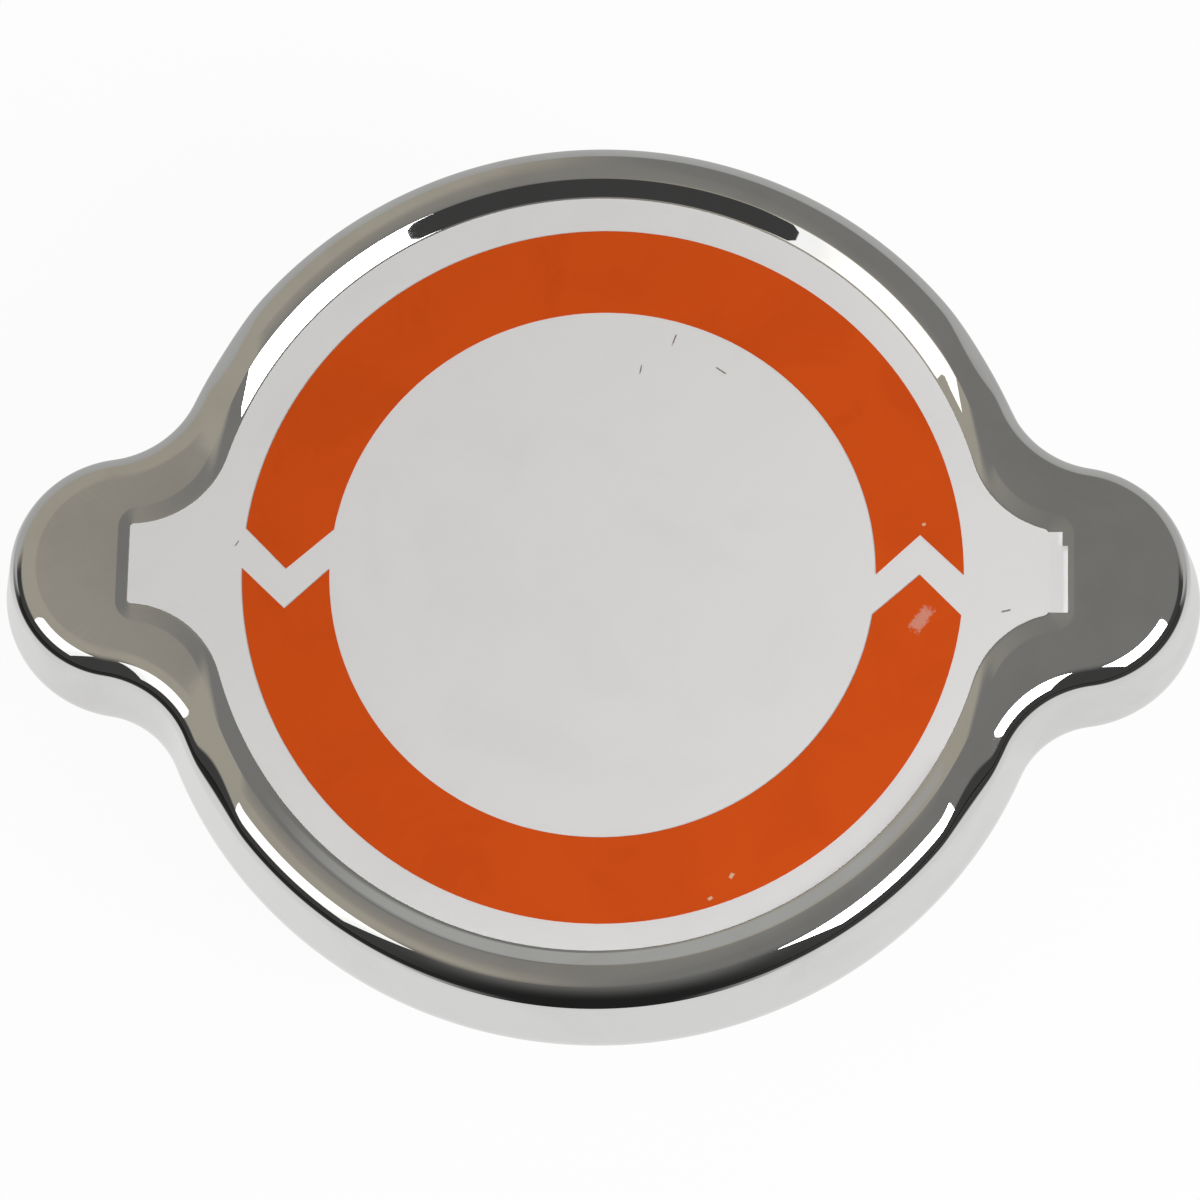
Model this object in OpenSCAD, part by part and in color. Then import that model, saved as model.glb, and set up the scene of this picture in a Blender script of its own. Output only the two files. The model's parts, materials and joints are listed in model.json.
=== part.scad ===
// Radiator cap for a large filler neck, with a pressure valve and a vacuum valve.
// Millimetres. The lower seal's face is at z = 0, +Z runs up through the crown, the ears lie along X.

/* [Crown] */
// Radius of the round part of the crown, at its rolled edge
crown_r = 32.45; // [31.5:0.05:34]
// Radius of each finger ear, at its rolled edge
ear_r = 8.5; // [8:0.1:10]
// Distance from the axis to the centre of each ear
ear_x = 34.3; // [33:0.1:36]
// Radius of the hollow between the round part and an ear
waist_r = 7.4; // [5:0.1:9]
// Height of the crown, from its top to the foot of its skirt
crown_h = 8.8; // [8:0.1:11]
// How far the skirt spreads outwards between the rolled edge and its foot
skirt_flare = 1; // [0.4:0.05:1.4]
// Thickness of the crown's sheet
sheet_t = 0.8; // [0.6:0.05:1]
// Radius of the rolled edge round the top
roll_r = 2.75; // [2:0.05:3]

/* [Sunk panel] */
// Radius of the panel's floor
panel_r = 28.25; // [27:0.05:28.5]
// Depth of the floor below the crown's top
panel_depth = 0.9; // [0.6:0.05:1.1]
// Width of the sloping wall round the panel
wall_run = 1.35; // [1:0.05:1.6]
// Radius of the bend at the wall's foot
foot_bend_r = 0.3; // [0.2:0.05:0.35]
// Radius of the bend at the wall's brow
brow_bend_r = 0.2; // [0.1:0.05:0.25]
// Half the width of a wing at its end
wing_half_w = 3; // [2:0.1:4]
// Radius of the hollow between the round floor and a wing
wing_hollow_r = 7.25; // [6:0.05:8]
// Distance from the axis to the end of the left wing's floor
wing_x = 33.5; // [32:0.1:34.5]
// Distance from the axis to the end of the right wing's floor
right_wing_x = 32.4; // [31:0.1:34]
// Length of the longer slope at the right wing's end
right_slope = 2; // [1.1:0.05:2.4]

/* [Print] */
// Thickness of the coat on the panel's floor
coat_t = 0.06; // [0.04:0.01:0.12]
// Thickness of the arrows' ink
ink_t = 0.05; // [0.03:0.01:0.1]
// Outer radius of the arrows
arrow_outer_r = 26; // [24:0.1:26.5]
// Inner radius of the arrows
arrow_inner_r = 19.7; // [17:0.1:22]
// Length of an arrow's point, and of the notch in its tail
arrow_point = 3; // [1.5:0.1:5]
// How far the print sits off the axis, along X
print_off_x = 0.37; // [-0.5:0.01:0.5]
// How far the print sits off the axis, along Y
print_off_y = -0.3; // [-0.5:0.01:0.5]
// How far the print is turned, in degrees
print_turn = 0; // [-3:0.1:3]

/* [Locking lugs] */
// Radius to the inner edge of the lugs
lug_r = 26.9; // [26.6:0.1:29]
// Angle that each lug covers
lug_span = 62; // [40:1:90]
// Length of the cut corners of a lug
lug_corner = 2; // [1:0.1:2.5]

/* [Seals] */
// Distance between the two sealing faces
reach = 19; // [17:0.1:24]
// Thickness of the upper gasket
upper_gasket_t = 1.5; // [1:0.1:2]
// Inner radius of the upper gasket
upper_gasket_inner_r = 21.8; // [21:0.1:23]
// Outer radius of the upper gasket and of the diaphragm
upper_gasket_r = 26.2; // [25:0.1:26.4]
// Thickness of the lower gasket under the plate
lower_gasket_t = 2.4; // [2:0.1:3.5]
// Outer radius of the lower gasket
lower_gasket_r = 21.3; // [20.5:0.1:22]
// Inner radius of the lower gasket's sealing face
lower_seal_inner_r = 13; // [11:0.1:15]
// Radius of the hole through the lower gasket
lower_gasket_hole_r = 6.5; // [5.6:0.1:8]
// Thickness of the lower gasket's inner lip
inner_lip_t = 1.2; // [0.8:0.1:1.6]

/* [Diaphragm and stud] */
// Thickness of the diaphragm
diaphragm_t = 0.4; // [0.3:0.05:0.6]
// How far the diaphragm's edge lies below its middle
diaphragm_dish = 0.65; // [0.3:0.05:1]
// Radius of the stud's shank
stud_r = 2.5; // [2:0.1:3]
// Radius of the stud's welded flange
stud_flange_r = 7; // [5:0.1:9]
// Thickness of the stud's welded flange
stud_flange_t = 0.8; // [0.6:0.1:1.2]
// Radius of the stud's staked end
stake_r = 3.9; // [3.4:0.1:5]
// Thickness of the stud's staked end
stake_t = 1.4; // [1:0.1:2]
// Radius of the swivel washer
washer_r = 5.5; // [4.5:0.1:7]
// Thickness of the swivel washer
washer_t = 0.6; // [0.4:0.1:1]

/* [Bell and plate] */
// Outer radius of the bell
bell_r = 12; // [11:0.1:12.5]
// Thickness of the bell's sheet
bell_t = 0.7; // [0.5:0.05:0.9]
// Width of the bell's flared rim
flare_w = 1.6; // [1.2:0.1:1.8]
// Radius of the bell's rounded shoulder
shoulder_r = 2.5; // [1.5:0.1:4]
// Radius of the vents in the bell's wall
bell_vent_r = 1.5; // [1:0.1:2]
// Thickness of the spring seat and of the pressure plate
plate_t = 0.8; // [0.6:0.05:1]
// Depth of the spring seat's rim
seat_rim = 1.5; // [1:0.1:2.5]
// Radius of the pressure plate
plate_r = 20.5; // [19.5:0.1:20.6]
// Thickness of the collar on the pressure plate
collar_t = 0.7; // [0.5:0.05:0.9]
// Radius of the vents through the pressure plate
plate_vent_r = 1; // [0.7:0.1:1.1]
// Distance that the pressure plate lifts
lift_travel = 3.5; // [2:0.1:4]

/* [Springs] */
// Wire of the main spring
main_wire = 1.8; // [1.4:0.1:2]
// Turns of the main spring
main_turns = 5.5; // [4.5:0.25:6]
// Wire of the vacuum spring
vacuum_wire = 0.5; // [0.4:0.05:0.6]
// Turns of the vacuum spring
vacuum_turns = 6; // [5:0.25:6.5]

/* [Vacuum valve] */
// Radius of the vacuum valve's disc
valve_r = 9; // [8.5:0.1:10.5]
// Thickness of the vacuum valve's disc
valve_t = 0.8; // [0.6:0.05:0.95]
// Radius of the vacuum valve's stem
stem_r = 1.5; // [1.2:0.05:1.7]
// Height of the guide boss above the pressure plate
guide_h = 1.4; // [0.8:0.1:2]
// Length of the vacuum spring as fitted
vacuum_spring_l = 5.8; // [5.2:0.1:7]
// Thickness of the keeper
keeper_t = 0.6; // [0.4:0.05:0.8]
// Height of the stem's staked tip
tip_h = 0.8; // [0.5:0.1:1.2]

/* [Clearances] */
// Radial clearance of a hole that turns or slides on a pin
run_gap = 0.06; // [0.03:0.01:0.1]
// Play between pieces that hook or seat loosely on each other
seat_gap = 0.05; // [0.02:0.01:0.1]
// Radial clearance between pieces that pass each other
pass_gap = 0.3; // [0.2:0.05:0.35]
// Radial clearance round a coil
coil_gap = 0.4; // [0.3:0.05:0.5]

/* [Hidden] */
$fn = 96;

// Colours
chrome = [0.72, 0.72, 0.71];
satin = [0.86, 0.87, 0.88];
orange = [0.83, 0.31, 0.08];
zinc = [0.66, 0.65, 0.61];
steel = [0.56, 0.57, 0.58];
rubber = [0.08, 0.08, 0.085];
brass = [0.76, 0.62, 0.32];

// Heights, from the lower seal upwards
plate_z = lower_gasket_t;
plate_top = plate_z + plate_t;
flare_z = plate_top + lift_travel + pass_gap;
flare_top = flare_z + bell_t;
hook_z = flare_top + seat_gap;
hook_top = hook_z + collar_t;
gasket_top = reach + upper_gasket_t;
diaphragm_z = gasket_top + diaphragm_dish;
diaphragm_top = diaphragm_z + diaphragm_t;
seat_z = diaphragm_z - plate_t;
bell_ceiling = seat_z - bell_t;
washer_top = bell_ceiling - seat_gap;
stake_top = washer_top - washer_t;
floor_under = diaphragm_top + stud_flange_t;
floor_z = floor_under + sheet_t;
crown_top = floor_z + panel_depth;
skirt_z = crown_top - crown_h;
valve_top = inner_lip_t - seat_gap;
valve_z = valve_top - valve_t;
keeper_z = plate_top + vacuum_spring_l;
tip_z = keeper_z + keeper_t;
tip_top = tip_z + tip_h;

// Radii that follow from the sizes above
flare_r = bell_r + flare_w;
collar_inner_r = flare_r + pass_gap;
collar_r = collar_inner_r + collar_t;
hook_r = bell_r + pass_gap;
coil_r = collar_r + coil_gap + main_wire / 2;
seat_inner_r = coil_r + main_wire / 2 + coil_gap;
seat_r = seat_inner_r + plate_t;
step_r = seat_r + coil_gap;
swivel_hole_r = stud_r + run_gap;
guide_hole_r = stem_r + run_gap;
guide_r = guide_hole_r + collar_t;
vacuum_coil_r = guide_r + pass_gap + vacuum_wire / 2;
keeper_r = vacuum_coil_r + vacuum_wire;
vent_circle_r = (vacuum_coil_r + vacuum_wire / 2 + lower_gasket_hole_r) / 2;
bead_r = 0.6;
soft_edge = 0.3;
lip_grip = 0.6;
lip_top = plate_top + bead_r;

// Centres of the hollows: each touches the round part and the ear, or the round floor and the wing's side
waist_x = (pow(crown_r + waist_r, 2) - pow(ear_r + waist_r, 2) + pow(ear_x, 2)) / (2 * ear_x);
waist_y = sqrt(pow(crown_r + waist_r, 2) - pow(waist_x, 2));
hollow_y = wing_half_w + wing_hollow_r;
hollow_x = sqrt(pow(panel_r + wing_hollow_r, 2) - pow(hollow_y, 2));

// How far a cut reaches past a face, how far halves overlap, and how far a hollow bites into what it joins
spare = 1;
lap = 0.2;
bite = 0.02;

// A straight prism on an outline, from one height to another
module prism(points, low, high) {
    translate([0, 0, low])
        linear_extrude(high - low)
            polygon(points);
}

// How far the skirt has spread at a height
function spread(z) = skirt_flare * (crown_top - roll_r - z) / (crown_h - roll_r);

// Half section of a blank with its top edge rolled and its skirt spreading: radius, roll and heights
module rolled_section(r, roll, low, high) {
    polygon([[0, low], [r + spread(low), low], [r, high - roll], [0, high - roll]]);
    translate([0, low])
        square([r - roll, high - low]);
    intersection() {
        translate([r - roll, high - roll])
            circle(roll);
        translate([r - roll, high - roll])
            square(roll);
    }
}

// Section outside a hollow of that radius, with the edge of the hollow rolled
module hollow_section(r, roll, low, high) {
    far = crown_r + waist_r + spare;
    translate([r + roll, low])
        square([far - r - roll, high - low]);
    polygon([[r - spread(low), low], [r + roll, low], [r + roll, high - roll], [r, high - roll]]);
    intersection() {
        translate([r + roll, high - roll])
            circle(roll);
        translate([r, high - roll])
            square(roll);
    }
}

// One quarter of the webs that join an ear to the round part
module web(inset, low, high) {
    intersection() {
        prism([[0, -lap], [ear_x, -lap], [waist_x, waist_y]], low - spare, high + spare);
        translate([waist_x, waist_y, 0])
            rotate_extrude()
                hollow_section(waist_r + inset + bite, roll_r - inset, low, high);
    }
}

// The crown as a solid block, inset by a thickness
module blank(inset, low, high) {
    rotate_extrude()
        rolled_section(crown_r - inset, roll_r - inset, low, high);
    for (turn = [0, 180])
        rotate([0, 0, turn]) {
            translate([ear_x, 0, 0])
                rotate_extrude()
                    rolled_section(ear_r - inset, roll_r - inset, low, high);
            for (side = [0, 1])
                mirror([0, side, 0])
                    web(inset, low, high);
        }
}

// The space over the panel's wall, from the wall's foot outwards: a straight slope between two bends
module wall_section(run) {
    bends = foot_bend_r + brow_bend_r;
    rise = panel_depth - bends;
    angle = atan(rise / run) + asin(bends / norm([run, rise]));
    foot = [foot_bend_r * sin(angle), floor_z + foot_bend_r * (1 - cos(angle))];
    brow = [run - brow_bend_r * sin(angle), crown_top - brow_bend_r * (1 - cos(angle))];
    high = crown_top + spare;
    difference() {
        polygon([[0, floor_z], foot, brow, [run, crown_top], [run, high], [0, high]]);
        translate([run, crown_top - brow_bend_r])
            circle(brow_bend_r);
    }
    translate([0, floor_z + foot_bend_r])
        circle(foot_bend_r);
}

// Half of the space over one wing
module wing_space(high, floor_end, slope) {
    hollow = wing_hollow_r + bite;
    far = panel_r + wing_hollow_r + spare;
    end_x = floor_end + slope + spare;
    intersection() {
        prism([[0, -lap], [end_x, -lap], [end_x, hollow_y], [hollow_x, hollow_y]],
            floor_z - spare, high + spare);
        translate([hollow_x, hollow_y, 0])
            rotate_extrude() {
                translate([hollow, floor_z])
                    square([far - hollow, high - floor_z]);
                translate([hollow, 0])
                    mirror([1, 0])
                        wall_section(wall_run);
            }
        translate([0, far, 0])
            rotate([90, 0, 0])
                linear_extrude(2 * far) {
                    translate([-spare, floor_z])
                        square([floor_end + spare, high - floor_z]);
                    translate([floor_end, 0])
                        wall_section(slope);
                }
    }
}

// The space over the panel, from its floor up past the crown's top
module panel_space() {
    high = crown_top + spare;
    rotate_extrude() {
        translate([0, floor_z])
            square([panel_r, high - floor_z]);
        translate([panel_r, 0])
            wall_section(wall_run);
    }
    for (side = [0, 1])
        mirror([0, side, 0]) {
            wing_space(high, right_wing_x, right_slope);
            mirror([1, 0, 0])
                wing_space(high, wing_x, wall_run);
        }
}

// A point in the plane, by its distance from the axis and its angle from +Y
function polar(r, angle) = r * [sin(angle), cos(angle)];

// One locking lug, turned in from the foot of the skirt, with its inner corners cut off
module lug() {
    half_span = lug_span / 2;
    short_span = half_span - asin(lug_corner / lug_r);
    far = 2 * crown_r;
    near = lug_r - spare;
    translate([0, 0, skirt_z])
        linear_extrude(sheet_t)
            intersection() {
                difference() {
                    circle(crown_r + skirt_flare - sheet_t / 2);
                    circle(lug_r);
                }
                polygon([polar(far, -half_span), polar(far, 0), polar(far, half_span),
                    polar(lug_r + lug_corner, half_span), polar(near, short_span),
                    polar(near, -short_span), polar(lug_r + lug_corner, -half_span)]);
            }
}

// The pressed crown: round top, ears, sunk panel, skirt and lugs in one sheet
module crown_shell() {
    color(chrome) {
        difference() {
            blank(0, skirt_z, crown_top);
            panel_space();
            difference() {
                blank(sheet_t, skirt_z - spare, crown_top - sheet_t);
                translate([0, 0, -sheet_t])
                    panel_space();
            }
        }
        for (turn = [0, 180])
            rotate([0, 0, turn])
                lug();
    }
}

// The satin coat that fills the panel's floor from wall to wall
module panel_coat() {
    color(satin)
        intersection() {
            panel_space();
            translate([-2 * crown_r, -2 * crown_r, floor_z])
                cube([4 * crown_r, 4 * crown_r, coat_t]);
        }
}

// One arrow: half a ring with a point at one end and a matching notch at the other
module arrow() {
    mid_r = (arrow_outer_r + arrow_inner_r) / 2;
    slope = 2 * arrow_point / (arrow_outer_r - arrow_inner_r);
    past = arrow_outer_r + spare;
    short = arrow_inner_r - spare;
    point_end = arrow_point + slope * spare;
    notch_end = -slope * spare;
    intersection() {
        difference() {
            circle(arrow_outer_r);
            circle(arrow_inner_r);
        }
        polygon([[-past, point_end], [-mid_r, 0], [-short, point_end], [short, notch_end],
            [mid_r, arrow_point], [past, notch_end], [past, past], [-past, past]]);
    }
}

// The two printed arrows, which chase each other round the panel
module arrow_print() {
    color(orange)
        translate([print_off_x, print_off_y, floor_z + coat_t])
            rotate([0, 0, print_turn])
                for (turn = [0, 180])
                    rotate([0, 0, turn])
                        linear_extrude(ink_t)
                            arrow();
}

// The stud: a flange welded under the panel, a shank, and an end staked over the washer
module centre_stud() {
    chamfer = 0.4;
    color(zinc)
        rotate_extrude()
            polygon([[0, floor_under], [stud_flange_r - chamfer, floor_under],
                [stud_flange_r, floor_under - chamfer], [stud_flange_r, diaphragm_top],
                [stud_r, diaphragm_top], [stud_r, stake_top], [stake_r, stake_top],
                [stake_r, stake_top - stake_t / 2], [stake_r - stake_t / 2, stake_top - stake_t],
                [0, stake_top - stake_t]]);
}

// The washer that the bell turns on
module swivel_washer() {
    color(steel)
        rotate_extrude()
            translate([swivel_hole_r, stake_top])
                square([washer_r - swivel_hole_r, washer_t]);
}

// The dished disc that presses the upper gasket down
module diaphragm_spring() {
    rim_r = upper_gasket_inner_r;
    color(steel)
        rotate_extrude()
            polygon([[swivel_hole_r, diaphragm_z], [step_r, diaphragm_z], [rim_r, gasket_top],
                [upper_gasket_r, gasket_top], [upper_gasket_r, gasket_top + diaphragm_t],
                [rim_r, gasket_top + diaphragm_t], [step_r, diaphragm_top], [swivel_hole_r, diaphragm_top]]);
}

// The ring that seals on the lip of the filler neck
module upper_gasket() {
    color(rubber)
        rotate_extrude()
            polygon([[upper_gasket_inner_r, gasket_top], [upper_gasket_inner_r, reach + soft_edge],
                [upper_gasket_inner_r + soft_edge, reach], [upper_gasket_r - soft_edge, reach],
                [upper_gasket_r, reach + soft_edge], [upper_gasket_r, gasket_top]]);
}

// The shallow cup over the upper end of the main spring
module spring_seat() {
    corner = plate_t;
    color(zinc)
        rotate_extrude() {
            translate([swivel_hole_r, seat_z])
                square([seat_r - corner - swivel_hole_r, plate_t]);
            translate([seat_inner_r, seat_z - seat_rim])
                square([plate_t, seat_rim + plate_t - corner]);
            intersection() {
                translate([seat_r - corner, diaphragm_z - corner])
                    circle(corner);
                translate([seat_r - corner, diaphragm_z - corner])
                    square(corner);
            }
        }
}

// Half section of the bell's outside or inside
module bell_section(r, shoulder, high) {
    translate([0, flare_z])
        square([r, high - shoulder - flare_z]);
    translate([0, flare_z])
        square([r - shoulder, high - flare_z]);
    intersection() {
        translate([r - shoulder, high - shoulder])
            circle(shoulder);
        translate([r - shoulder, high - shoulder])
            square(shoulder);
    }
}

// The inverted cup that hangs on the stud, with a flared rim and vents
module bell_housing() {
    vents = 4;
    vent_z = (hook_top + lift_travel + bell_ceiling) / 2;
    color(zinc)
        difference() {
            rotate_extrude()
                difference() {
                    union() {
                        bell_section(bell_r, shoulder_r, seat_z);
                        translate([0, flare_z])
                            square([flare_r, bell_t]);
                    }
                    translate([0, -spare])
                        square([swivel_hole_r, crown_top]);
                    translate([0, -bell_t])
                        bell_section(bell_r - bell_t, shoulder_r - bell_t, seat_z);
                    translate([0, flare_z - spare])
                        square([bell_r - bell_t, 2 * spare]);
                }
            for (i = [0 : vents - 1])
                rotate([0, 0, (i + 0.5) * 360 / vents])
                    translate([0, 0, vent_z])
                        rotate([0, 90, 0])
                            cylinder(h = bell_r + spare, r = bell_vent_r);
        }
}

// A point on the wire's surface: turns along the coil, and angle round the wire
function wire_point(mean_r, wire, height, turn, around) =
    let (r = mean_r + wire / 2 * cos(around))
    [r * cos(360 * turn), r * sin(360 * turn), height + wire / 2 * sin(around)];

// Height of the wire's middle along a coil with one closed turn at each end
function coil_height(t, turns, wire, low, high) =
    let (
        closed = wire * 1.03,
        first = low + wire / 2,
        last = high - wire / 2,
        pitch = (last - first - 2 * closed) / (turns - 2)
    )
    t < 1 ? first + closed * t
    : t > turns - 1 ? last - closed * (turns - t)
    : first + closed + pitch * (t - 1);

// A round wire wound between two heights
module coil(mean_r, wire, turns, low, high, steps, sides) {
    rings = round(turns * steps);
    points = [
        for (i = [0 : rings])
            for (j = [0 : sides - 1])
                wire_point(mean_r, wire, coil_height(i / steps, turns, wire, low, high),
                    i / steps, 360 * j / sides)
    ];
    walls = [
        for (i = [0 : rings - 1])
            for (j = [0 : sides - 1])
                let (
                    next = (j + 1) % sides,
                    a = i * sides,
                    b = a + sides
                )
                each [[a + j, a + next, b + next], [a + j, b + next, b + j]]
    ];
    start_cap = [for (j = [sides - 1 : -1 : 0]) j];
    end_cap = [for (j = [0 : sides - 1]) rings * sides + j];
    polyhedron(points, concat([start_cap], walls, [end_cap]), convexity = 10);
}

// The spring that sets the opening pressure
module main_spring() {
    color(steel)
        coil(coil_r, main_wire, main_turns, plate_top + seat_gap, seat_z - seat_gap, 24, 12);
}

// The plate that lifts: floor, guide boss, vents, and a collar hooked over the bell's rim
module pressure_plate() {
    vents = 4;
    color(zinc)
        difference() {
            rotate_extrude() {
                translate([guide_hole_r, plate_z])
                    square([plate_r - guide_hole_r, plate_t]);
                translate([guide_hole_r, plate_z])
                    square([guide_r - guide_hole_r, plate_t + guide_h]);
                translate([collar_inner_r, plate_z])
                    square([collar_t, hook_top - plate_z]);
                translate([hook_r, hook_z])
                    square([collar_r - hook_r, collar_t]);
            }
            for (i = [0 : vents - 1])
                rotate([0, 0, i * 360 / vents])
                    translate([vent_circle_r, 0, plate_z - spare])
                        cylinder(h = plate_t + 2 * spare, r = plate_vent_r);
        }
}

// The moulded ring snapped over the plate's edge, with a thin inner lip for the vacuum valve
module lower_gasket() {
    color(rubber)
        rotate_extrude()
            polygon([[lower_gasket_hole_r, inner_lip_t], [lower_seal_inner_r, inner_lip_t],
                [lower_seal_inner_r + soft_edge, 0], [lower_gasket_r - soft_edge, 0],
                [lower_gasket_r, soft_edge], [lower_gasket_r, lip_top - soft_edge],
                [lower_gasket_r - soft_edge, lip_top], [plate_r - lip_grip, lip_top],
                [plate_r - lip_grip, plate_top], [plate_r, plate_top], [plate_r, plate_z],
                [lower_gasket_hole_r, plate_z]]);
}

// The vacuum valve: a disc, a stem, and a tip staked over the keeper
module vacuum_valve() {
    tip_r = stem_r + collar_t;
    chamfer = valve_t / 4;
    color(brass)
        rotate_extrude()
            polygon([[0, valve_z], [valve_r - chamfer, valve_z], [valve_r, valve_z + chamfer],
                [valve_r, valve_top], [stem_r, valve_top], [stem_r, tip_z], [tip_r, tip_z],
                [tip_r, tip_z + tip_h / 2], [stem_r, tip_top], [0, tip_top]]);
}

// The light spring that holds the vacuum valve shut
module vacuum_spring() {
    color(steel)
        coil(vacuum_coil_r, vacuum_wire, vacuum_turns, plate_top + seat_gap, keeper_z - seat_gap, 20, 8);
}

// The washer on the stem that the light spring lifts
module vacuum_keeper() {
    color(zinc)
        rotate_extrude()
            translate([stem_r + run_gap, keeper_z])
                square([keeper_r - stem_r - run_gap, keeper_t]);
}

crown_shell();
panel_coat();
arrow_print();
centre_stud();
swivel_washer();
diaphragm_spring();
upper_gasket();
spring_seat();
bell_housing();
main_spring();
pressure_plate();
lower_gasket();
vacuum_valve();
vacuum_spring();
vacuum_keeper();
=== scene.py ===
"""Radiator cap: the finished form and surface of every piece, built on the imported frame.

Metres, +Z up, the ears along X. The camera looks down from the near side, which is -Y.
"""

import json
import math

import bmesh
import bpy
from mathutils import Matrix, Vector

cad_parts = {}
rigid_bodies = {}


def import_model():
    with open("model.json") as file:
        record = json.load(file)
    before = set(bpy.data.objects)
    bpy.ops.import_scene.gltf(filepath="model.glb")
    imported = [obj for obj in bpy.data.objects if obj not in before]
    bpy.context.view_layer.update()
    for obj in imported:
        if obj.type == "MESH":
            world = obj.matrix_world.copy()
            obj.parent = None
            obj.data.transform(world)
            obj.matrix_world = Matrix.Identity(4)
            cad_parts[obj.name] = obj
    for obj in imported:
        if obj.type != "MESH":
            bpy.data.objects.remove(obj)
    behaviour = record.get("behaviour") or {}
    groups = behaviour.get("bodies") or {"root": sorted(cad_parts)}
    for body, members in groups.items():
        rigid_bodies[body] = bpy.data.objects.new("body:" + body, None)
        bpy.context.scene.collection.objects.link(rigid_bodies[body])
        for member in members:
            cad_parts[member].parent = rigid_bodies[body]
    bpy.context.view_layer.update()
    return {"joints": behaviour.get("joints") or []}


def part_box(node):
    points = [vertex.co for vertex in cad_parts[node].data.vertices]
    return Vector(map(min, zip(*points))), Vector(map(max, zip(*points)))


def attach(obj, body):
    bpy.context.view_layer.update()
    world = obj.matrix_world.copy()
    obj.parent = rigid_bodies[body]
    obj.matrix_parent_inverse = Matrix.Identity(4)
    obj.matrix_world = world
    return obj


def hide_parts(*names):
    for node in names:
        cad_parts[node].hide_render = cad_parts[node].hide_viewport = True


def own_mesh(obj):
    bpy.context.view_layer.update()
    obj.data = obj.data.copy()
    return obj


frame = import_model()

MM = 0.001
MERGE = 0.001 * MM
CLOSE = 0.01 * MM

# Heights that the frame gives
SKIRT_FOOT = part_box("crown_shell")[0].z
CROWN_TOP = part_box("crown_shell")[1].z
FLOOR_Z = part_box("panel_coat")[0].z
COAT_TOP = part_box("panel_coat")[1].z
INK_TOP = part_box("arrow_print")[1].z
FLOOR_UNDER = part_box("centre_stud")[1].z
STAKE_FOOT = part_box("centre_stud")[0].z
STAKE_TOP, WASHER_TOP = (corner.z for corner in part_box("swivel_washer"))
GASKET_FOOT, GASKET_TOP = (corner.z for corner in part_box("upper_gasket"))
DIAPHRAGM_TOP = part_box("diaphragm_spring")[1].z
SEAT_FOOT, SEAT_TOP = (corner.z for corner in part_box("spring_seat"))
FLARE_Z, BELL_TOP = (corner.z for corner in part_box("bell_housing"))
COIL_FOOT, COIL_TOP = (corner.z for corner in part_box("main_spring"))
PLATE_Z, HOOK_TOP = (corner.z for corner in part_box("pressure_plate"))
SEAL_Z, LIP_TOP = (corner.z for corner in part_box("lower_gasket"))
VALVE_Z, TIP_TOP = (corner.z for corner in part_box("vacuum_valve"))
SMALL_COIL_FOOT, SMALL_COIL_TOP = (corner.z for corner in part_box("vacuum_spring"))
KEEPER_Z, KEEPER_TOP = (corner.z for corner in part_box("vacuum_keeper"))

# Crown
CROWN_R = 32.45 * MM
EAR_R = 8.5 * MM
EAR_X = 34.3 * MM
WAIST_R = 7.4 * MM
SHEET_T = 0.8 * MM
ROLL_R = 2.2 * MM
SKIRT_FLARE = 1.0 * MM

# The ears lie lower than the ring, which slopes down to them between two distances from the middle
EAR_DROP = 0.82 * MM
DROP_FROM = 25.0 * MM
DROP_TO = 28.5 * MM

# Steps of the crown's curves
ROLL_STEPS = 16
ROUND_STEPS = 192
EAR_STEPS = 36
WAIST_STEPS = 18

# The waist's hollow touches the round part and the ear
WAIST_X = ((CROWN_R + WAIST_R) ** 2 - (EAR_R + WAIST_R) ** 2 + EAR_X ** 2) / (2 * EAR_X)
WAIST_Y = math.sqrt((CROWN_R + WAIST_R) ** 2 - WAIST_X ** 2)
ROUND_START = math.degrees(math.atan2(WAIST_Y, WAIST_X))
EAR_HALF = math.degrees(math.atan2(WAIST_Y, WAIST_X - EAR_X))

# Sunk panel: its floor, its wall, and where its two wings end, at the brow and at the floor
PANEL_R = 28.25 * MM
PANEL_DEPTH = CROWN_TOP - FLOOR_Z
WALL_RUN = 1.35 * MM
FOOT_BEND_R = 0.3 * MM
BROW_BEND_R = 0.2 * MM
WING_HALF_W = 3.0 * MM
HOLLOW_R = 7.25 * MM
CORNER_R = 0.3 * MM
RIGHT_BROW_X = 34.4 * MM
RIGHT_FLOOR_X = 32.4 * MM
LEFT_BROW_X = 34.8 * MM
LEFT_FLOOR_X = 33.9 * MM
HOLLOW_STEPS = 20
CORNER_STEPS = 12
BEND_STEPS = 5
SLOPE_STEPS = 4

# The wing's hollow touches the round floor and the wing's side. The wall slopes between two bends.
HOLLOW_Y = WING_HALF_W + HOLLOW_R
HOLLOW_X = math.sqrt((PANEL_R + HOLLOW_R) ** 2 - HOLLOW_Y ** 2)
HOLLOW_START = math.degrees(math.atan2(HOLLOW_Y, HOLLOW_X))
WALL_BENDS = FOOT_BEND_R + BROW_BEND_R
WALL_RISE = PANEL_DEPTH - WALL_BENDS
WALL_ANGLE = math.atan(WALL_RISE / WALL_RUN)
WALL_ANGLE += math.asin(WALL_BENDS / math.hypot(WALL_RUN, WALL_RISE))

# Locking lugs
LUG_R = 26.9 * MM
LUG_HALF_SPAN = 31.0
LUG_CORNER = 2.0 * MM
LUG_CORNER_STEPS = 8
LUG_END_CLOSE = 0.1

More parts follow.
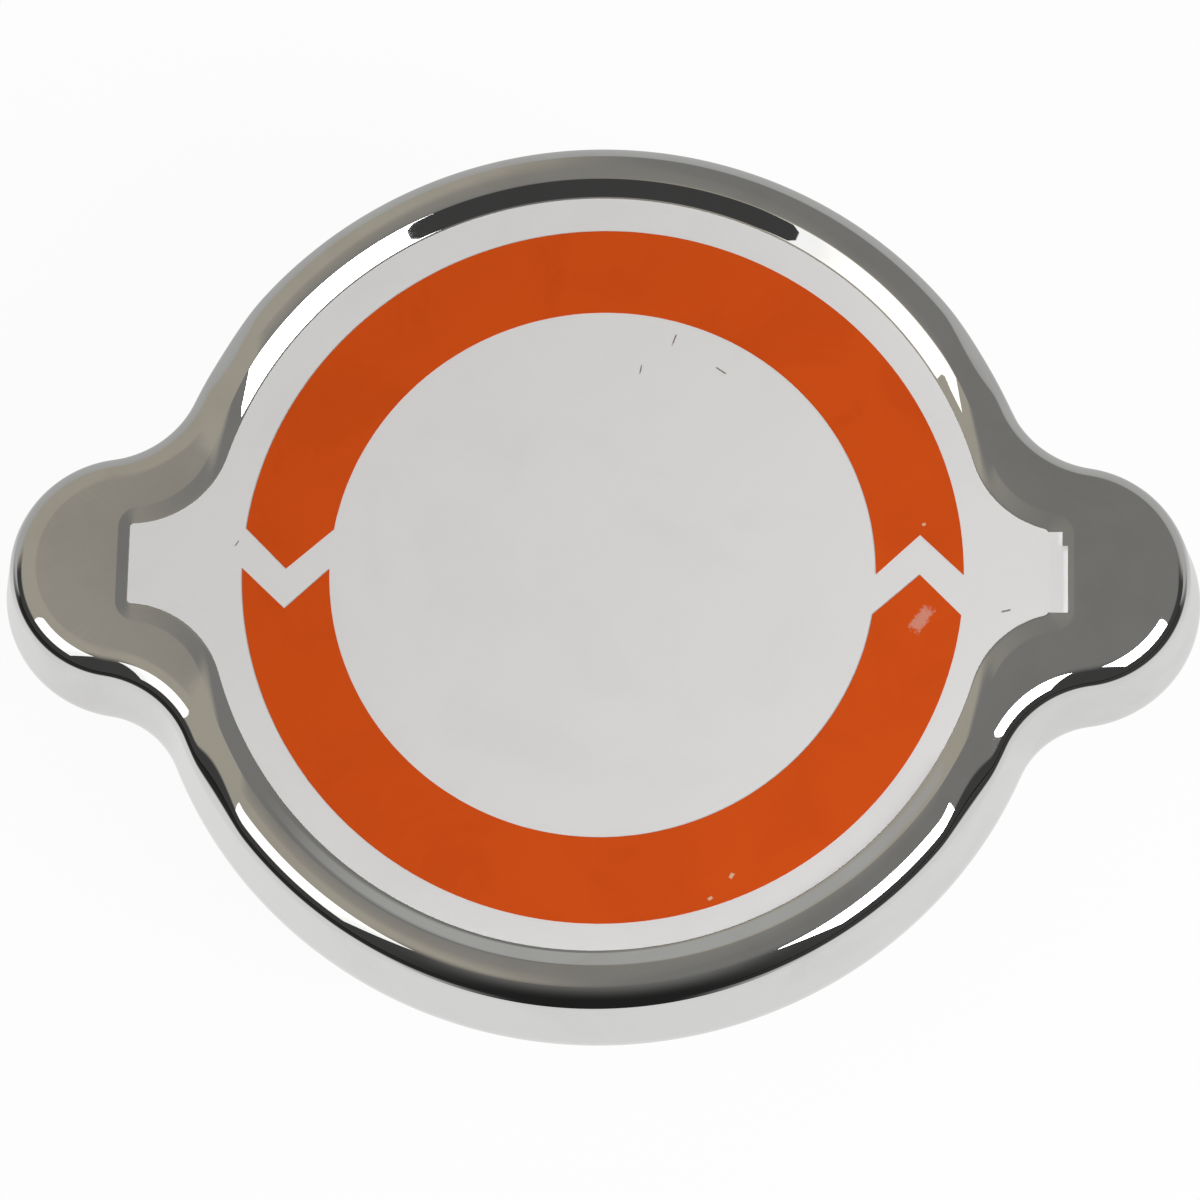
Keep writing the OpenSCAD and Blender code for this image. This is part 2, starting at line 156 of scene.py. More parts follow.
# Print
COAT_T = COAT_TOP - FLOOR_Z
ARROW_OUTER_R = 26.0 * MM
ARROW_INNER_R = 19.7 * MM
ARROW_POINT = 3.0 * MM
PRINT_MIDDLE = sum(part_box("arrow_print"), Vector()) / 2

# Inner pieces, by radius
STUD_R = 2.5 * MM
FLANGE_R = 7.0 * MM
STAKE_R = 3.9 * MM
WASHER_R = 5.5 * MM
RUN_GAP = 0.06 * MM
STUD_HOLE_R = STUD_R + RUN_GAP
GASKET_INNER_R = 21.8 * MM
GASKET_R = 26.2 * MM
DIAPHRAGM_T = 0.4 * MM
DIAPHRAGM_STEP_R = 18.4 * MM
PLATE_T = 0.8 * MM
SEAT_INNER_R = 17.2 * MM
BELL_R = 12.0 * MM
BELL_T = 0.7 * MM
FLARE_R = 13.6 * MM
SHOULDER_R = 2.5 * MM
BELL_VENT_R = 1.5 * MM
COLLAR_INNER_R = 13.9 * MM
COLLAR_T = 0.7 * MM
HOOK_R = 12.3 * MM
PLATE_R = 20.5 * MM
PLATE_VENT_R = 1.0 * MM
VENT_CIRCLE_R = 4.78 * MM
GUIDE_R = 2.26 * MM
GUIDE_H = 1.4 * MM
SEAL_R = 21.3 * MM
SEAL_INNER_R = 13.0 * MM
SEAL_HOLE_R = 6.5 * MM
INNER_LIP_T = 1.2 * MM
LIP_GRIP = 0.6 * MM
VALVE_R = 9.0 * MM
VALVE_T = 0.8 * MM
STEM_R = 1.5 * MM
STEM_HOLE_R = STEM_R + RUN_GAP
TIP_R = 2.2 * MM
KEEPER_R = 3.31 * MM
COIL_R = 15.9 * MM
COIL_WIRE = 1.8 * MM
COIL_TURNS = 5.5
SMALL_COIL_R = 2.81 * MM
SMALL_COIL_WIRE = 0.5 * MM
SMALL_COIL_TURNS = 6.0
COIL_LAY = 1.03
TURNED_STEPS = 128
HOLE_STEPS = 40
VENTS = 4

# How far edges are rounded, by kind of piece
THIN_EDGE = 0.08 * MM
STAMPED_EDGE = 0.1 * MM
PRESSED_EDGE = 0.12 * MM
TURNED_EDGE = 0.15 * MM
RUBBER_EDGE = 0.25 * MM

# Travel of the two sliding joints
TRAVEL = {joint["name"]: joint["range_m"][1] for joint in frame["joints"] if "range_m" in joint}
LIFT_TRAVEL = TRAVEL["pressure_lift"]

# How many steps of the wall the coat climbs at the right wing's end, its cuts there, and its notch
COAT_CLIMB_STEPS = 8
COAT_END_CUTS = 5
COAT_NOTCH_STEP = 7
COAT_NOTCH_Y = 2.0 * MM

# Marks of wear: place in mm, direction in degrees, half length and half width in mm
COAT_TICKS = [
    (5.25, 17.37, 70, 0.60, 0.08),
    (2.85, 15.09, 80, 0.50, 0.07),
    (8.67, 15.05, -35, 0.65, 0.08),
    (29.39, -2.93, 15, 0.45, 0.09),
    (-26.1, 1.58, 60, 0.35, 0.06),
]
INK_SCUFFS = [(23.37, -3.57, 55, 1.4, 0.65)]
INK_SPECKS = [
    (21.91, 1.23, 40, 0.25, 0.18),
    (23.51, 3.48, 20, 0.20, 0.15),
    (10.01, -22.69, 60, 0.30, 0.20),
    (8.52, -24.36, 30, 0.25, 0.15),
]

# Bright plate: two tones, polish, how much smears and hairlines dull it, and how deep it waves
CHROME_CLEAR = (0.69, 0.69, 0.68, 1)
CHROME_SMEARED = (0.65, 0.645, 0.63, 1)
CHROME_POLISH = 0.02
CHROME_HAZE = 0.014
CHROME_HAIRLINE = 0.022
CHROME_WAVE = 0.03 * MM

# Plain metals: how much wear dulls them, and the height of their grain or turning lines
METAL_SPREAD = 0.10
METAL_RELIEF = 0.004 * MM

# Colours of coat, ink and rubber
COAT_PALE = (0.715, 0.717, 0.725, 1)
COAT_GREY = (0.69, 0.693, 0.704, 1)
COAT_TICKED = (0.16, 0.12, 0.10, 1)
INK_FULL = (0.62, 0.073, 0.003, 1)
INK_THIN = (0.58, 0.066, 0.0025, 1)
INK_SCUFFED = (0.62, 0.24, 0.17, 1)
INK_BARE = (0.66, 0.42, 0.28, 1)
RUBBER_BLACK = (0.013, 0.013, 0.014, 1)
RUBBER_BLOOM = (0.028, 0.028, 0.029, 1)

# Studio floor, and the painted shade that the metal sees on it: dimmer on the far side in place of
# the cap's shadow, and dark some way out on the near side
FLOOR_SIZE = 6.0
FLOOR_WHITE = (0.82, 0.82, 0.82, 1)
FLOOR_GLOW = 0.95
FLOOR_NEAR_PAINTED_SHADE = 0.12
FLOOR_FAR_PAINTED_SHADE = 0.50
FLOOR_PAINTED_SHADE_FROM = -10 * MM
FLOOR_PAINTED_SHADE_TO = 35 * MM
FLOOR_EDGE_FROM = 80 * MM
FLOOR_EDGE_TO = 105 * MM

# Dark card in front of the cap, seen only in the metal as a painted dark reflection: its soft ends,
# and its painted tones low and high
FLAG_Y = -60 * MM
FLAG_W = 110 * MM
FLAG_H = 70 * MM
FLAG_SOFT_FROM = FLAG_W * 0.1
FLAG_SOFT_TO = FLAG_W * 0.4
FLAG_PALE_FROM = FLAG_H * 0.35
FLAG_PAINTED_LOW = (0.02, 0.02, 0.02, 1)
FLAG_PAINTED_HIGH = (0.16, 0.158, 0.152, 1)

# Room: its tones, and where they pass into each other, by direction to the far side, right or up
ROOM_LEFT = (0.46, 0.425, 0.36, 1)
ROOM_RIGHT = (0.235, 0.232, 0.225, 1)
ROOM_DARK = (0.06, 0.06, 0.06, 1)
ROOM_FAR = (0.48, 0.48, 0.47, 1)
NEAR_TO_FAR = (0.20, 0.45)
LEFT_TO_RIGHT = (-0.25, 0.05)
LOW_TO_HIGH = (0.30, 0.42)
HORIZON_TO_HIGH = (0.08, 0.20)
OPEN_TO_SHADE = (0.02, 0.20)
SHADE_TO_HIGH = (0.70, 0.95)
SHADE_NARROWING = 0.7

# Softboxes: azimuth and elevation in degrees, distance, width and height in metres, and brightness
SOFTBOXES = {
    "softbox_left": (210, 36, 0.55, 0.30, 0.33, 1.25),
    "softbox_right": (-30, 37, 0.42, 0.27, 0.25, 8.5),
}

# Photograph's view: tilt from straight down, turn of that tilt, roll, distance, lens and middle
VIEW_TILT = math.radians(16.7)
VIEW_TURN = math.radians(8.3)
VIEW_ROLL = math.radians(0.9)
VIEW_DISTANCE = 432.3 * MM
VIEW_LENS = 180.0
VIEW_SENSOR = 36.0
VIEW_MIDDLE = Vector((0.25 * MM, -2.4 * MM, FLOOR_Z))


# Drawing and finishing of meshes

def open_piece(name):
    """A new empty piece, open for editing."""
    bpy.ops.object.select_all(action="DESELECT")
    bpy.ops.mesh.primitive_plane_add(size=MM, calc_uvs=False)
    piece = bpy.context.object
    piece.name = name
    piece.data.name = name
    enter_edit()
    bpy.ops.mesh.select_mode(type="VERT")
    bpy.ops.mesh.select_all(action="SELECT")
    bpy.ops.mesh.delete(type="VERT")
    return piece


def place_point(at):
    """Starts a new line in the open piece: one selected point."""
    bpy.ops.mesh.primitive_plane_add(size=MM, calc_uvs=False)
    bpy.ops.mesh.merge(type="CENTER")
    bpy.ops.transform.translate(value=at)


def draw_line(step):
    """Draws on from the last point, straight."""
    bpy.ops.mesh.extrude_region_move(TRANSFORM_OT_translate={"value": step})


def draw_arc(centre, degrees, steps):
    """Draws on from the last point, round a centre, anticlockwise from above."""
    bpy.ops.mesh.spin(
        steps=steps, angle=-math.radians(degrees), center=(*centre, 0), axis=(0, 0, 1)
    )


def enter_edit():
    """Opens the active piece for editing."""
    bpy.ops.object.mode_set(mode="EDIT")


def leave_edit():
    """Closes the open piece."""
    bpy.ops.object.mode_set(mode="OBJECT")


def merge_doubles():
    """Joins the points of the open piece that lie on each other."""
    bpy.ops.mesh.select_all(action="SELECT")
    bpy.ops.mesh.remove_doubles(threshold=MERGE)


def pick(piece, kind, test):
    """Selects the edges or the faces of the open piece that pass a test."""
    bpy.ops.mesh.select_mode(type=kind)
    bpy.ops.mesh.select_all(action="DESELECT")
    mesh = bmesh.from_edit_mesh(piece.data)
    for part in mesh.edges if kind == "EDGE" else mesh.faces:
        part.select_set(test(part))
    bmesh.update_edit_mesh(piece.data)


def pick_rim(piece, height):
    """Selects the open edges of the open piece that lie at a height."""
    pick(piece, "EDGE", lambda edge: edge.is_boundary and level(edge, height))


def level(edge, height):
    """True if both ends of an edge lie at a height."""
    return all(abs(point.co.z - height) < CLOSE for point in edge.verts)


def loft(name, draw, stations):
    """Draws an outline at each offset and height, bridges them in turn, and leaves it open."""
    rings = []
    for offset, height in stations:
        rings.append(open_piece(name))
        draw(offset, height)
        merge_doubles()
        leave_edit()
    for ring in rings:
        ring.select_set(True)
    bpy.ops.object.join()
    piece = bpy.context.object
    piece.name = name
    piece.data.name = name
    enter_edit()
    bpy.ops.mesh.select_all(action="SELECT")
    bpy.ops.mesh.bridge_edge_loops()
    return piece


def close_piece():
    """Merges doubles, points every face outwards and leaves edit mode."""
    merge_doubles()
    bpy.ops.mesh.normals_make_consistent(inside=False)
    leave_edit()


def apply_modifier(piece, kind, **options):
    """Adds a modifier with its options and applies it."""
    bpy.context.view_layer.objects.active = piece
    modifier = piece.modifiers.new(kind.lower(), kind)
    for option, value in options.items():
        setattr(modifier, option, value)
    bpy.ops.object.modifier_apply(modifier=modifier.name)


def round_edges(piece, width, segments=3, angle=35):
    """Rounds the edges that are sharper than an angle, and evens the shading."""
    if width:
        apply_modifier(
            piece,
            "BEVEL",
            width=width,
            segments=segments,
            limit_method="ANGLE",
            angle_limit=math.radians(angle),
        )
    bpy.ops.object.shade_smooth()
    apply_modifier(piece, "WEIGHTED_NORMAL", keep_sharp=True)


def heading(angle):
    """The level direction at an angle from +X."""
    return Vector((math.cos(angle), math.sin(angle), 0))


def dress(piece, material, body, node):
    """Gives a finished piece its material and its body, and hides the CAD node that it stands for.
    """
    piece.data.materials.clear()
    piece.data.materials.append(material)
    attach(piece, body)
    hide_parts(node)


# The crown, pressed from one sheet

def draw_crown_outline(offset, height):
    """The crown's plan, drawn in by an offset: half an ear, a waist, the round part and so on."""
    waist_turn = ROUND_START - EAR_HALF
    place_point((EAR_X + EAR_R - offset, 0, height))
    for side in (1, -1):
        draw_arc((side * EAR_X, 0), EAR_HALF, EAR_STEPS)
        draw_arc((side * WAIST_X, side * WAIST_Y), waist_turn, WAIST_STEPS)
        draw_arc((0, 0), 180 - 2 * ROUND_START, ROUND_STEPS)
        draw_arc((-side * WAIST_X, side * WAIST_Y), waist_turn, WAIST_STEPS)
        draw_arc((-side * EAR_X, 0), EAR_HALF, EAR_STEPS)


def wing_corner(brow_x, floor_x, offset):
    """Where a wing ends, and the centre and turn of the round corner between end and side."""
    end_x = brow_x + (floor_x - brow_x) * offset / WALL_RUN
    corner_r = CORNER_R + WALL_RUN - offset
    centre_x = end_x - corner_r
    reach = HOLLOW_R + CORNER_R
    centre_y = HOLLOW_Y - math.sqrt(reach ** 2 - (HOLLOW_X - centre_x) ** 2)
    turn = math.degrees(math.atan2(HOLLOW_Y - centre_y, HOLLOW_X - centre_x))
    return end_x, centre_x, centre_y, turn


def draw_panel_outline(offset, height):
    """The panel's plan, drawn in from its brow by an offset: a disc with a wing at each side."""
    corners = {
        1: wing_corner(RIGHT_BROW_X, RIGHT_FLOOR_X, offset),
        -1: wing_corner(LEFT_BROW_X, LEFT_FLOOR_X, offset),
    }
    place_point((corners[1][0], 0, height))
    for side in (1, -1):
        _, centre_x, centre_y, turn = corners[side]
        draw_line((0, side * centre_y, 0))
        draw_arc((side * centre_x, side * centre_y), turn, CORNER_STEPS)
        draw_arc((side * HOLLOW_X, side * HOLLOW_Y), HOLLOW_START - turn, HOLLOW_STEPS)
        draw_arc((0, 0), 180 - 2 * HOLLOW_START, ROUND_STEPS)
        _, centre_x, centre_y, turn = corners[-side]
        draw_arc((-side * HOLLOW_X, side * HOLLOW_Y), HOLLOW_START - turn, HOLLOW_STEPS)
        draw_arc((-side * centre_x, side * centre_y), turn, CORNER_STEPS)
        draw_line((0, -side * centre_y, 0))


def crown_stations(inset):
    """Offsets and heights up the skirt and over the rolled edge, for one face of the sheet."""
    top = CROWN_TOP - inset
    roll = ROLL_R - inset
    skirt_h = CROWN_TOP - ROLL_R - SKIRT_FOOT
    lean = math.atan(SKIRT_FLARE / skirt_h)
    stations = []
    for height in (0, SHEET_T):
        stations.append((inset - SKIRT_FLARE * (1 - height / skirt_h), SKIRT_FOOT + height))
    for step in range(ROLL_STEPS + 1):
        angle = lean + (math.pi / 2 - lean) * step / ROLL_STEPS
        stations.append((ROLL_R - roll * math.cos(angle), top - roll * (1 - math.sin(angle))))
    return stations


def wall_stations(top):
    """Offsets and heights down the panel's wall: bend at the brow, slope, bend at the foot."""
    floor = top - PANEL_DEPTH
    angles = [WALL_ANGLE * step / BEND_STEPS for step in range(BEND_STEPS + 1)]
    brow = [(BROW_BEND_R * math.sin(a), top - BROW_BEND_R * (1 - math.cos(a))) for a in angles]
    foot = [
        (WALL_RUN - FOOT_BEND_R * math.sin(a), floor + FOOT_BEND_R * (1 - math.cos(a)))
        for a in angles
    ]
    foot.reverse()
    slope = []
    for step in range(1, SLOPE_STEPS):
        share = step / SLOPE_STEPS
        slope.append(tuple(high + (low - high) * share for high, low in zip(brow[-1], foot[0])))
    return brow + slope + foot


def lower_ears(piece, foot, top):
    """Lowers the ears of the open piece: not at its foot, and by the whole drop at its top."""
    mesh = bmesh.from_edit_mesh(piece.data)
    for point in mesh.verts:
        out = min(max((abs(point.co.x) - DROP_FROM) / (DROP_TO - DROP_FROM), 0), 1)
        up = min(max((point.co.z - foot) / (top - foot), 0), 1)
        point.co.z -= EAR_DROP * up * out * out * (3 - 2 * out)
    bmesh.update_edit_mesh(piece.data)


def crown_face(name, inset):
    """One face of the sheet: skirt, rolled edge, flat land, panel wall and panel floor."""
    top = CROWN_TOP - inset
    roll_foot = CROWN_TOP - ROLL_R
    panel = loft(name + "_panel", draw_panel_outline, wall_stations(top))
    pick_rim(panel, top - PANEL_DEPTH)
    bpy.ops.mesh.edge_face_add()
    lower_ears(panel, top - PANEL_DEPTH, top)
    leave_edit()
    face = loft(name, draw_crown_outline, crown_stations(inset))
    lower_ears(face, SKIRT_FOOT, roll_foot)
    leave_edit()
    panel.select_set(True)
    bpy.ops.object.join()
    enter_edit()
    pick(
        face,
        "EDGE",
        lambda edge: edge.is_boundary and all(point.co.z > roll_foot for point in edge.verts),
    )
    bpy.ops.mesh.fill(use_beauty=True)
    leave_edit()
    return face


def in_lug(face):
    """True for the faces of the inner skirt's lowest band that a lug is turned in from."""
    middle = face.calc_center_median()
    off_axis = math.degrees(math.atan2(abs(middle.x), abs(middle.y)))
    low = middle.z < SKIRT_FOOT + SHEET_T
    upright = abs(face.normal.z) < 0.5
    inside = math.hypot(middle.x, middle.y) < CROWN_R + SKIRT_FLARE - SHEET_T / 2
    return low and upright and inside and off_axis < LUG_HALF_SPAN


def is_lug_corner(edge):
    """True for the upright edges at the two inner corners of each lug."""
    first, second = (point.co for point in edge.verts)
    upright = abs(first.z - second.z) > SHEET_T / 2
    at_edge = abs(math.hypot(first.x, first.y) - LUG_R) < SHEET_T / 4
    off_axis = math.degrees(math.atan2(abs(first.x), abs(first.y)))
    return upright and at_edge and abs(off_axis - LUG_HALF_SPAN) < LUG_END_CLOSE


def make_crown():
    """Both faces of the sheet, closed at the skirt's foot, with the two locking lugs turned in."""
    inner = crown_face("crown_inner", SHEET_T)
    crown = crown_face("crown_pressing", 0)
    inner.select_set(True)
    bpy.ops.object.join()
    enter_edit()
    pick_rim(crown, SKIRT_FOOT)
    bpy.ops.mesh.fill(use_beauty=True)
    bpy.ops.mesh.select_all(action="SELECT")
    bpy.ops.mesh.normals_make_consistent(inside=False)
    pick(crown, "FACE", in_lug)
    bpy.ops.mesh.extrude_region_move()
    reach = LUG_R / (CROWN_R + SKIRT_FLARE - SHEET_T)
    bpy.ops.transform.resize(value=(reach, reach, 1), center_override=(0, 0, 0))
    pick(crown, "EDGE", is_lug_corner)
    bpy.ops.mesh.bevel(offset=LUG_CORNER, segments=LUG_CORNER_STEPS)
    close_piece()
    round_edges(crown, PRESSED_EDGE, segments=2, angle=50)
    return crown


# Coat and print on the panel's floor

def make_coat():
    """The coat on the floor, which runs part of the way up the right wing's end."""
    coat = open_piece("panel_finish")
    draw_panel_outline(WALL_RUN, FLOOR_Z)
    merge_doubles()
    bpy.ops.mesh.edge_face_add()
    right_end = wall_stations(CROWN_TOP)
    right_end.reverse()
    climb = (RIGHT_BROW_X - RIGHT_FLOOR_X) / WALL_RUN
    pick(coat, "EDGE", lambda edge: all(point.co.x > RIGHT_FLOOR_X - CLOSE for point in edge.verts))
    bpy.ops.mesh.subdivide(number_cuts=COAT_END_CUTS)
    rise = 1 - EAR_DROP / PANEL_DEPTH
    end_x = RIGHT_FLOOR_X
    for number, (lower, upper) in enumerate(zip(right_end[:COAT_CLIMB_STEPS], right_end[1:])):
        if number == COAT_NOTCH_STEP:
            past = Vector((end_x - CLOSE, COAT_NOTCH_Y))
            pick(
                coat,
                "EDGE",
                lambda edge: all(p.co.x > past.x and p.co.y < past.y for p in edge.verts),
            )
        run = (lower[0] - upper[0]) * climb
        step = (run, 0, (upper[1] - lower[1]) * rise)
        bpy.ops.mesh.extrude_region_move(TRANSFORM_OT_translate={"value": step})
        end_x += run
    bpy.ops.mesh.select_all(action="SELECT")
    bpy.ops.mesh.normals_make_consistent(inside=False)
    leave_edit()
    upward = sum(face.normal.z * face.area for face in coat.data.polygons)
    apply_modifier(coat, "SOLIDIFY", thickness=COAT_T, offset=math.copysign(1, upward))
    round_edges(coat, 0)
    return coat


def print_point(radius, degrees):
    """A point of the print, by its distance and angle from the print's own middle."""
    return heading(math.radians(degrees)) * radius + PRINT_MIDDLE


def draw_arrow(turn):
    """One arrow's outline: half a ring with a notched tail and a matching point."""
    middle_r = (ARROW_INNER_R + ARROW_OUTER_R) / 2
    inner_head = 180 - math.degrees(math.asin(ARROW_POINT / ARROW_INNER_R))
    outer_head = 180 - math.degrees(math.asin(ARROW_POINT / ARROW_OUTER_R))
    notch_turn = math.degrees(math.atan(ARROW_POINT / middle_r))
    notch = print_point(math.hypot(middle_r, ARROW_POINT), turn + notch_turn)
    tail_outer = print_point(ARROW_OUTER_R, turn)
    head_outer = print_point(ARROW_OUTER_R, turn + outer_head)
    head_inner = print_point(ARROW_INNER_R, turn + inner_head)
    tail_inner = print_point(ARROW_INNER_R, turn)
    tip = print_point(middle_r, turn + 180)
    start = tail_outer.copy()
    start.z = COAT_TOP
    centre = (PRINT_MIDDLE.x, PRINT_MIDDLE.y)
    place_point(start)
    draw_arc(centre, outer_head, ROUND_STEPS)
    draw_line(tip - head_outer)
    draw_line(head_inner - tip)
    draw_arc(centre, -inner_head, ROUND_STEPS)
    draw_line(notch - tail_inner)
    draw_line(tail_outer - notch)


def make_arrows():
    """The two arrows of ink, chasing each other round the coat."""
    arrows = open_piece("arrow_ink")
    for turn in (0, 180):
        draw_arrow(turn)
        bpy.ops.mesh.select_linked()
        bpy.ops.mesh.remove_doubles(threshold=MERGE)
        bpy.ops.mesh.edge_face_add()
    bpy.ops.mesh.select_all(action="SELECT")
    bpy.ops.mesh.extrude_region_move(TRANSFORM_OT_translate={"value": (0, 0, INK_TOP - COAT_TOP)})
    close_piece()
    bpy.ops.object.shade_smooth_by_angle(angle=math.radians(30))
    return arrows


# Turned and pressed round pieces of the valve

def bend(centre_r, centre_z, radius, start, finish, steps=8):
    """Points of a round bend in a section, from one angle to another, in degrees."""
    angles = [math.radians(start + (finish - start) * step / steps) for step in range(steps + 1)]
    return [(centre_r + radius * math.cos(a), centre_z + radius * math.sin(a)) for a in angles]


def turned(name, section, edge, closed=True):
    """A round piece: its half section drawn, spun about the axis, and its edges rounded."""
    piece = open_piece(name)
    place_point((section[0][0], 0, section[0][1]))
    route = section + section[:1] if closed else section
    for (last_r, last_z), (next_r, next_z) in zip(route, route[1:]):
        draw_line((next_r - last_r, 0, next_z - last_z))
    merge_doubles()
    bpy.ops.mesh.spin(steps=TURNED_STEPS, angle=2 * math.pi, center=(0, 0, 0), axis=(0, 0, 1))
    close_piece()
    round_edges(piece, edge)
    return piece


def make_ring(name, inner, outer, low, high, edge):
    """A plain ring."""
    return turned(name, [(inner, low), (outer, low), (outer, high), (inner, high)], edge)


def drill(piece, radius, depth, places):
    """Cuts round holes through a piece, each given by its start and its direction."""
    for start, direction in places:
        bpy.ops.object.select_all(action="DESELECT")
        middle = start + direction * depth / 2
        bpy.ops.mesh.primitive_cylinder_add(
            vertices=HOLE_STEPS,
            radius=radius,
            depth=depth,
            location=middle,
            rotation=direction.to_track_quat("Z", "Y").to_euler(),
        )
        cutter = bpy.context.object
        apply_modifier(piece, "BOOLEAN", object=cutter, operation="DIFFERENCE", solver="EXACT")
        bpy.data.objects.remove(cutter)
    bpy.ops.object.select_all(action="DESELECT")
    piece.select_set(True)
    bpy.context.view_layer.objects.active = piece
    bpy.ops.object.shade_smooth_by_angle(angle=math.radians(40))


def make_stud():
    """The stud: a flange welded under the panel, a shank, and an end staked over the washer."""
    half = (STAKE_TOP - STAKE_FOOT) / 2
    return turned(
        "stud_turned",
        [(0, FLOOR_UNDER), (FLANGE_R, FLOOR_UNDER), (FLANGE_R, DIAPHRAGM_TOP),
         (STUD_R, DIAPHRAGM_TOP), (STUD_R, STAKE_TOP), (STAKE_R, STAKE_TOP),
         (STAKE_R, STAKE_TOP - half), (STAKE_R - half, STAKE_FOOT), (0, STAKE_FOOT)],
        TURNED_EDGE,
        closed=False,
    )


def make_diaphragm():
    """The dished disc that presses the upper gasket down."""
    dish_z = DIAPHRAGM_TOP - DIAPHRAGM_T
    rim_z = GASKET_TOP + DIAPHRAGM_T
    return turned(
        "diaphragm_disc",
        [(STUD_HOLE_R, dish_z), (DIAPHRAGM_STEP_R, dish_z), (GASKET_INNER_R, GASKET_TOP),
         (GASKET_R, GASKET_TOP), (GASKET_R, rim_z), (GASKET_INNER_R, rim_z),
         (DIAPHRAGM_STEP_R, DIAPHRAGM_TOP), (STUD_HOLE_R, DIAPHRAGM_TOP)],
        THIN_EDGE,
    )


def make_seat():
    """The shallow cup over the upper end of the main spring."""
    under = SEAT_TOP - PLATE_T
    outer = SEAT_INNER_R + PLATE_T
    return turned(
        "spring_cup",
        [(STUD_HOLE_R, under), (SEAT_INNER_R, under), (SEAT_INNER_R, SEAT_FOOT), (outer, SEAT_FOOT)]
        + bend(outer - PLATE_T, SEAT_TOP - PLATE_T, PLATE_T, 0, 90)
        + [(STUD_HOLE_R, SEAT_TOP)],
        PRESSED_EDGE,
    )


def make_bell():
    """The inverted cup that hangs on the stud, with a flared rim and vents."""
    inner = BELL_R - BELL_T
    ceiling = BELL_TOP - BELL_T
    rim_top = FLARE_Z + BELL_T
    bell = turned(
        "bell_cup",
        [(STUD_HOLE_R, BELL_TOP)]
        + bend(BELL_R - SHOULDER_R, BELL_TOP - SHOULDER_R, SHOULDER_R, 90, 0)
        + [(BELL_R, rim_top), (FLARE_R, rim_top), (FLARE_R, FLARE_Z), (inner, FLARE_Z)]
        + bend(BELL_R - SHOULDER_R, BELL_TOP - SHOULDER_R, SHOULDER_R - BELL_T, 0, 90)
        + [(STUD_HOLE_R, ceiling)],
        PRESSED_EDGE,
    )
    vent_z = (HOOK_TOP + LIFT_TRAVEL + ceiling) / 2
    turns = [2 * math.pi * (vent + 0.5) / VENTS for vent in range(VENTS)]
    drill(
        bell,
        BELL_VENT_R,
        2 * BELL_T + BELL_R,
        [(Vector((0, 0, vent_z)), heading(turn)) for turn in turns],
    )
    return bell


def make_plate():
    """The plate that lifts: floor, guide boss, vents, and a collar hooked over the bell's rim."""
    top = PLATE_Z + PLATE_T
    collar_r = COLLAR_INNER_R + COLLAR_T
    hook_z = HOOK_TOP - COLLAR_T
    plate = turned(
        "lift_plate",
        [(STEM_HOLE_R, PLATE_Z), (PLATE_R, PLATE_Z), (PLATE_R, top), (collar_r, top),
         (collar_r, HOOK_TOP), (HOOK_R, HOOK_TOP), (HOOK_R, hook_z), (COLLAR_INNER_R, hook_z),
         (COLLAR_INNER_R, top), (GUIDE_R, top), (GUIDE_R, top + GUIDE_H),
         (STEM_HOLE_R, top + GUIDE_H)],
        PRESSED_EDGE,
    )
    turns = [2 * math.pi * vent / VENTS for vent in range(VENTS)]
    below = Vector((0, 0, PLATE_Z - PLATE_T))
    drill(
        plate,
        PLATE_VENT_R,
        3 * PLATE_T,
        [(heading(turn) * VENT_CIRCLE_R + below, Vector((0, 0, 1))) for turn in turns],
    )
    return plate


def make_lower_gasket():
    """The moulded ring snapped over the plate's edge, with a thin lip for the vacuum valve."""
    top = PLATE_Z + PLATE_T
    grip_r = PLATE_R - LIP_GRIP
    return turned(
        "lower_seal_ring",
        [(SEAL_HOLE_R, INNER_LIP_T), (SEAL_INNER_R, INNER_LIP_T),
         (SEAL_INNER_R + LIP_GRIP / 2, SEAL_Z), (SEAL_R, SEAL_Z), (SEAL_R, LIP_TOP),
         (grip_r, LIP_TOP), (grip_r, top), (PLATE_R, top), (PLATE_R, PLATE_Z),
         (SEAL_HOLE_R, PLATE_Z)],
        RUBBER_EDGE,
    )


def make_valve():
    """The vacuum valve: a disc, a stem, and a tip staked over the keeper."""
    top = VALVE_Z + VALVE_T
    tip_half = (TIP_TOP - KEEPER_TOP) / 2
    return turned(
        "vacuum_disc",
        [(0, VALVE_Z), (VALVE_R, VALVE_Z), (VALVE_R, top), (STEM_R, top), (STEM_R, KEEPER_TOP),
         (TIP_R, KEEPER_TOP), (TIP_R, KEEPER_TOP + tip_half), (STEM_R, TIP_TOP), (0, TIP_TOP)],
        TURNED_EDGE,
        closed=False,
    )


def coil_height(turn, turns, wire, low, high):
    """Height of the wire's middle along a coil with one closed turn at each end."""
    closed = wire * COIL_LAY
    first = low + wire / 2
    last = high - wire / 2
    pitch = (last - first - 2 * closed) / (turns - 2)
    if turn < 1:
        return first + closed * turn
    if turn > turns - 1:
        return last - closed * (turns - turn)
    return first + closed + pitch * (turn - 1)


